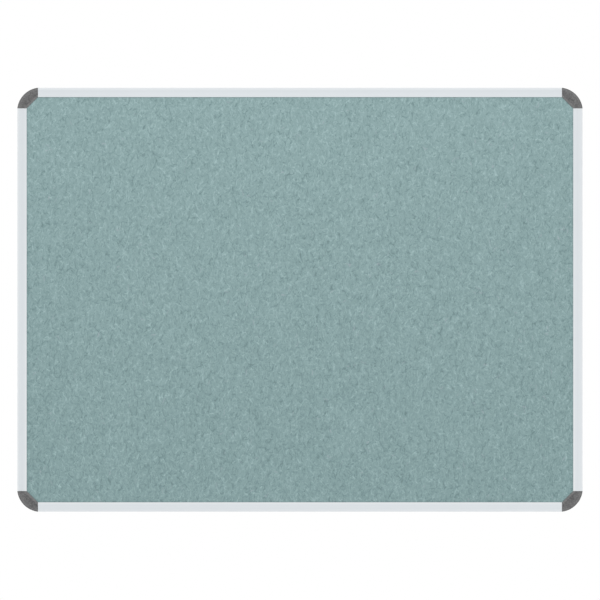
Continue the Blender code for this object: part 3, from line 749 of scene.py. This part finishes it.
def cardMaterial():
    material, tree, shader = newMaterial("card_backing")
    place = objectPlace(tree, (-9, 0))
    pale = useGroup(tree, fibreGroup, (-6, 1), place, **card["paleFibres"])
    dark = useGroup(tree, fibreGroup, (-6, 2), place, **card["darkFibres"])
    clouds = noiseNode(tree, (-6, 0), place, *card["clouds"])
    pulp = noiseNode(tree, (-6, -1), place, *card["pulp"])
    clouds = rangeNode(tree, (-4, 0), clouds, *noiseSpan, 0.0, card["cloudShare"])
    colour = mixColour(tree, (-3, 1), clouds, card["colour"], card["fibre"])
    pale = mathNode(tree, (-3, 0), "MULTIPLY", pale["Fibres"], card["paleShare"])
    colour = mixColour(tree, (-2, 1), pale, colour, card["fibre"])
    dark = mathNode(tree, (-4, 2), "MULTIPLY", dark["Fibres"], dark["Tone"])
    dark = mathNode(tree, (-3, 2), "MULTIPLY", dark, card["darkShare"])
    colour = mixColour(tree, (-1, 1), dark, colour, card["speck"])
    dull = rangeNode(tree, (-1, 0), pulp, *card["pulpSpan"], 0.0, card["pulpShare"])
    colour = mixColour(tree, (0, 1), dull, colour, card["speck"])
    rough = rangeNode(tree, (0, -1), pulp, *noiseSpan, *card["roughness"])
    feed(tree, shader.inputs["Base Color"], colour)
    feed(tree, shader.inputs["Roughness"], rough)
    feed(tree, shader.inputs["Normal"], bumpNode(tree, (0, -2), pulp, card["relief"]))
    return material


dress("core_board", fibreboardMaterial())
dress("backing_sheet", cardMaterial())
print("core and backing finished")


# screws that hold the rails

screw = {
    "flatShares": (0.35, 0.6),  # radii of the rings on the flat of the head, as shares of its own
    "rounded": 0.0009,  # edge of the head
    "roundedSteps": 6,
    "headHeight": 0.0014,
    "neckShare": 1.2,  # where the head meets the shank, against the shank's radius
    "shankRadius": 0.00104,
    "threadDepth": 0.00025,
    "threadPitch": 0.0011,
    "threadShare": 0.30,  # of the pitch, on each side of the crest
    "pointLength": 0.0020,
    "turnsRows": 10,  # rows of points to each turn of the thread
    "sides": 30,
    "crossSpan": (0.0032, 0.0020),  # at the mouth and at the bottom
    "crossWidth": (0.00072, 0.00042),
    "crossDepth": 0.00085,
    "seed": 5,
    "cool": (0.40, 0.42, 0.46),
    "warm": (0.57, 0.58, 0.60),
    "rubbed": (0.74, 0.74, 0.75),
    "bloom": (900.0, 3.0, 0.6, 0.5),
    "relief": 0.00002,
    "scratchShare": 0.8,
    "edgeRadius": 0.0002,
    "edgeShare": 0.5,
    "roughness": 0.28,
    "smeared": 0.15,  # what a smear adds to the roughness
}


def zincMaterial():
    material, tree, shader = newMaterial("zinc_plate")
    place = objectPlace(tree, (-9, 0))
    bloom = noiseNode(tree, (-6, 1), place, *screw["bloom"])
    wear = useGroup(tree, handlingGroup, (-6, -1), place, Scratched=screw["scratchShare"])
    edge = useGroup(tree, edgeGroup, (-6, -3), place, Radius=screw["edgeRadius"])["Edge"]
    patches = rangeNode(tree, (-4, 1), bloom, *noiseSpan)
    colour = mixColour(tree, (-3, 1), patches, screw["cool"], screw["warm"])
    edgeRub = mathNode(tree, (-3, 0), "MULTIPLY", edge, screw["edgeShare"])
    colour = mixColour(tree, (-2, 1), edgeRub, colour, screw["rubbed"])
    feed(tree, shader.inputs["Base Color"], colour)
    rough = mathNode(tree, (-2, 0), "MULTIPLY_ADD", wear["Smears"], screw["smeared"], screw["roughness"])
    feed(tree, shader.inputs["Roughness"], rough)
    feed(tree, shader.inputs["Normal"], bumpNode(tree, (-1, -1), bloom, screw["relief"]))
    feed(tree, shader.inputs["Metallic"], 1.0)
    return material


def threadRadius(depth, turn, headFront, tip):
    # the shank's radius at a depth, with the crest of the thread winding round it
    pointed = min((tip - depth) / screw["pointLength"], 1.0)
    phase = (depth - headFront) / screw["threadPitch"] - turn
    fromCrest = abs(phase - math.floor(phase) - 0.5)
    crest = max(1 - fromCrest / screw["threadShare"], 0.0)
    runIn = min((depth - headFront) / screw["threadPitch"], 1.0)
    return (screw["shankRadius"] + screw["threadDepth"] * crest * runIn) * math.sqrt(pointed)


def crossBlade(upright):
    # one of the two tapered slots of the cross recess
    mesh = bmesh.new()
    rows = []
    depths = (-screw["crossDepth"] / 2, screw["crossDepth"])
    for depth, span, width in zip(depths, screw["crossSpan"], screw["crossWidth"]):
        spots = [(x * span / 2, z * width / 2) for x, z in ((-1, -1), (1, -1), (1, 1), (-1, 1))]
        rows.append([mesh.verts.new((z, -depth, x) if upright else (x, -depth, z)) for x, z in spots])
    mesh.faces.new(rows[0])
    mesh.faces.new(rows[1])
    for i in range(4):
        j = (i + 1) % 4
        mesh.faces.new((rows[0][i], rows[0][j], rows[1][j], rows[1][i]))
    bmesh.ops.recalc_face_normals(mesh, faces=mesh.faces)
    data = bpy.data.meshes.new("blade")
    mesh.to_mesh(data)
    mesh.free()
    blade = bpy.data.objects.new("blade", data)
    bpy.context.scene.collection.objects.link(blade)
    return blade


def makeScrewMesh(material):
    # depths are measured forwards from the back of the head
    low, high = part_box("screw_bottom_rail_left")
    headRadius = (high.x - low.x) / 2
    tip = high.y - low.y
    headFront = screw["headHeight"]
    turns = [i / screw["sides"] for i in range(screw["sides"])]
    rings = [(0.0, headRadius * share) for share in screw["flatShares"]]
    for i in range(screw["roundedSteps"], -1, -1):
        bend = math.pi / 2 * i / screw["roundedSteps"]
        depth, inwards = 1 - math.sin(bend), 1 - math.cos(bend)
        rings.append((screw["rounded"] * depth, headRadius - screw["rounded"] * inwards))
    rings += [(headFront, headRadius), (headFront, screw["shankRadius"] * screw["neckShare"])]
    rings = [[ring] * screw["sides"] for ring in rings]
    rows = round((tip - headFront) / screw["threadPitch"] * screw["turnsRows"])
    for row in range(rows):
        depth = headFront + (tip - headFront) * row / rows
        rings.append([(depth, threadRadius(depth, turn, headFront, tip)) for turn in turns])
    mesh = bmesh.new()
    placed = []
    for ring in rings:
        row = []
        for turn, (depth, radius) in zip(turns, ring):
            angle = 2 * math.pi * turn
            row.append(mesh.verts.new((radius * math.cos(angle), -depth, radius * math.sin(angle))))
        placed.append(row)
    ends = (mesh.verts.new((0, 0, 0)), mesh.verts.new((0, -tip, 0)))
    for i in range(screw["sides"]):
        j = (i + 1) % screw["sides"]
        mesh.faces.new((ends[0], placed[0][i], placed[0][j]))
        mesh.faces.new((ends[1], placed[-1][j], placed[-1][i]))
        for near, far in zip(placed, placed[1:]):
            mesh.faces.new((near[i], far[i], far[j], near[j]))
    bmesh.ops.recalc_face_normals(mesh, faces=mesh.faces)
    blank = meshPiece("screw_blank", mesh, material)
    blades = [crossBlade(False), crossBlade(True)]
    for blade in blades:
        cut = blank.modifiers.new(blade.name, "BOOLEAN")
        cut.operation = "DIFFERENCE"
        cut.solver = "EXACT"
        cut.object = blade
    graph = bpy.context.evaluated_depsgraph_get()
    shape = bpy.data.meshes.new_from_object(blank.evaluated_get(graph))
    shape.set_sharp_from_angle(angle=math.radians(smoothBelow))
    for item in [blank, *blades]:
        bpy.data.objects.remove(item, do_unlink=True)
    return shape


def makeScrews():
    finish = zincMaterial()
    shape = makeScrewMesh(finish)
    source = random.Random(screw["seed"])
    nodes = [name for name in cadNodes if name.startswith("screw_")]
    for node in nodes:
        dress(node, finish)
        low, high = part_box(node)
        piece = bpy.data.objects.new(f"threaded_{node}", shape)
        bpy.context.scene.collection.objects.link(piece)
        piece.location = ((low.x + high.x) / 2, high.y, (low.z + high.z) / 2)
        piece.rotation_euler = (0, source.uniform(0, math.pi), 0)
        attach(piece, "board")
        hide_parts(node)
    print("screws made:", len(nodes), "with", len(shape.polygons), "faces each")


makeScrews()


# studio

studio = {
    "tentFront": 0.51,  # strength of the light tent straight in front, on matt surfaces
    "tentSides": 1.08,  # and at its sides, all round
    "lampPower": 3.2,
    "lampSize": (2.2, 0.7),
    "lampPlace": (0.0, -1.0, 1.2),
    "lampAim": (0.0, 0.0, 0.2),
    "sunStrength": 0.30,
    "sunTilt": 48,  # degrees up from straight ahead
    "sunSoftness": 70,
    "floorHeight": -0.95,
    "floorSize": (24.0, 24.0),
    "floorColour": (0.93, 0.93, 0.935),
    "floorCast": (0.925, 0.926, 0.93),
    "castScale": 3.0,
    "floorRoughness": 0.9,
}
view = {
    "lens": 900,
    "sensorWidth": 36,
    "widthInView": 1.2738,  # in metres, at the front of the rails
    "aim": (0.0001, -0.0006),
    "farthest": 100,
}


def seenDirectly(tree, place):
    # 1 for what the camera sees, and for what metal, gloss and glass show
    path = addNode(tree, "ShaderNodeLightPath", (place[0] - 2, place[1]))
    camera, glossy, through = (path.outputs[f"Is {ray} Ray"] for ray in ("Camera", "Glossy", "Transmission"))
    seen = mathNode(tree, (place[0] - 1, place[1]), "MAXIMUM", camera, glossy)
    return mathNode(tree, place, "MAXIMUM", seen, through)


def makeSurround():
    # white to the camera and in reflections; on matt surfaces a tent that is brighter at its sides
    world = bpy.data.worlds.new("light_tent")
    world.use_nodes = True
    tree = world.node_tree
    tent = tree.nodes["Background"]
    white = addNode(tree, "ShaderNodeBackground", (-1, -2))
    feed(tree, white.inputs["Color"], (1.0, 1.0, 1.0))
    feed(tree, white.inputs["Strength"], 1.0)
    ahead = addNode(tree, "ShaderNodeSeparateXYZ", (-5, 2))
    feed(tree, ahead.inputs[0], addNode(tree, "ShaderNodeTexCoord", (-6, 2)).outputs["Generated"])
    ahead = mathNode(tree, (-4, 2), "MULTIPLY", ahead.outputs["Y"], ahead.outputs["Y"])
    fall = studio["tentFront"] - studio["tentSides"]
    feed(tree, tent.inputs["Color"], (1.0, 1.0, 1.0))
    strength = mathNode(tree, (-3, 2), "MULTIPLY_ADD", ahead, fall, studio["tentSides"])
    feed(tree, tent.inputs["Strength"], strength)
    either = addNode(tree, "ShaderNodeMixShader", (1, 0))
    for index, source in enumerate((seenDirectly(tree, (-2, 0)), tent.outputs[0], white.outputs[0])):
        feed(tree, either.inputs[index], source)
    feed(tree, tree.nodes["World Output"].inputs["Surface"], either.outputs[0])
    bpy.context.scene.world = world


def makeLamps():
    lamp = bpy.data.lights.new("softbox", "AREA")
    lamp.shape = "RECTANGLE"
    lamp.size, lamp.size_y = studio["lampSize"]
    lamp.energy = studio["lampPower"]
    box = bpy.data.objects.new("softbox", lamp)
    box.location = studio["lampPlace"]
    back = Vector(studio["lampPlace"]) - Vector(studio["lampAim"])
    box.rotation_euler = back.to_track_quat("Z", "Y").to_euler()
    sun = bpy.data.lights.new("ceiling_light", "SUN")
    sun.energy = studio["sunStrength"]
    sun.angle = math.radians(studio["sunSoftness"])
    above = bpy.data.objects.new("ceiling_light", sun)
    above.rotation_euler = (math.radians(90 - studio["sunTilt"]), 0, 0)
    for item in (box, above):
        item.visible_glossy = False  # metal and plastic reflect the white surround, not the lamps
        bpy.context.scene.collection.objects.link(item)


def makeFloor():
    wide, deep = (size / 2 for size in studio["floorSize"])
    mesh = bmesh.new()
    outline = ((-1, -1), (1, -1), (1, 1), (-1, 1))
    mesh.faces.new([mesh.verts.new((x * wide, y * deep, studio["floorHeight"])) for x, y in outline])
    material, tree, shader = newMaterial("pale_floor")
    cast = noiseNode(tree, (-4, 0), objectPlace(tree, (-6, 0)), studio["castScale"])
    tone = rangeNode(tree, (-3, 0), cast, *noiseSpan)
    colour = mixColour(tree, (-2, 0), tone, studio["floorColour"], studio["floorCast"])
    feed(tree, shader.inputs["Base Color"], colour)
    feed(tree, shader.inputs["Roughness"], studio["floorRoughness"])
    # metal and gloss see the floor as white as the tent
    path = addNode(tree, "ShaderNodeLightPath", (-2, 3))
    glossy, through = path.outputs["Is Glossy Ray"], path.outputs["Is Transmission Ray"]
    mirrored = mathNode(tree, (-1, 3), "MAXIMUM", glossy, through)
    white = addNode(tree, "ShaderNodeEmission", (0, 2))
    either = addNode(tree, "ShaderNodeMixShader", (1, 1))
    for index, source in enumerate((mirrored, shader.outputs[0], white.outputs[0])):
        feed(tree, either.inputs[index], source)
    feed(tree, tree.nodes["Material Output"].inputs["Surface"], either.outputs[0])
    meshPiece("floor", mesh, material)


def makeCamera():
    distance = view["widthInView"] * view["lens"] / view["sensorWidth"]
    data = bpy.data.cameras.new("front_view")
    data.lens = view["lens"]
    data.sensor_width = view["sensorWidth"]
    data.clip_end = view["farthest"]
    holder = bpy.data.objects.new("front_view", data)
    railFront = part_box("rail_top")[0].y
    holder.location = (view["aim"][0], railFront - distance, view["aim"][1])
    holder.rotation_euler = (math.radians(90), 0, 0)
    bpy.context.scene.collection.objects.link(holder)
    bpy.context.scene.camera = holder


makeSurround()
makeLamps()
makeFloor()
makeCamera()
bpy.context.scene.view_settings.view_transform = "Standard"
print("studio made")
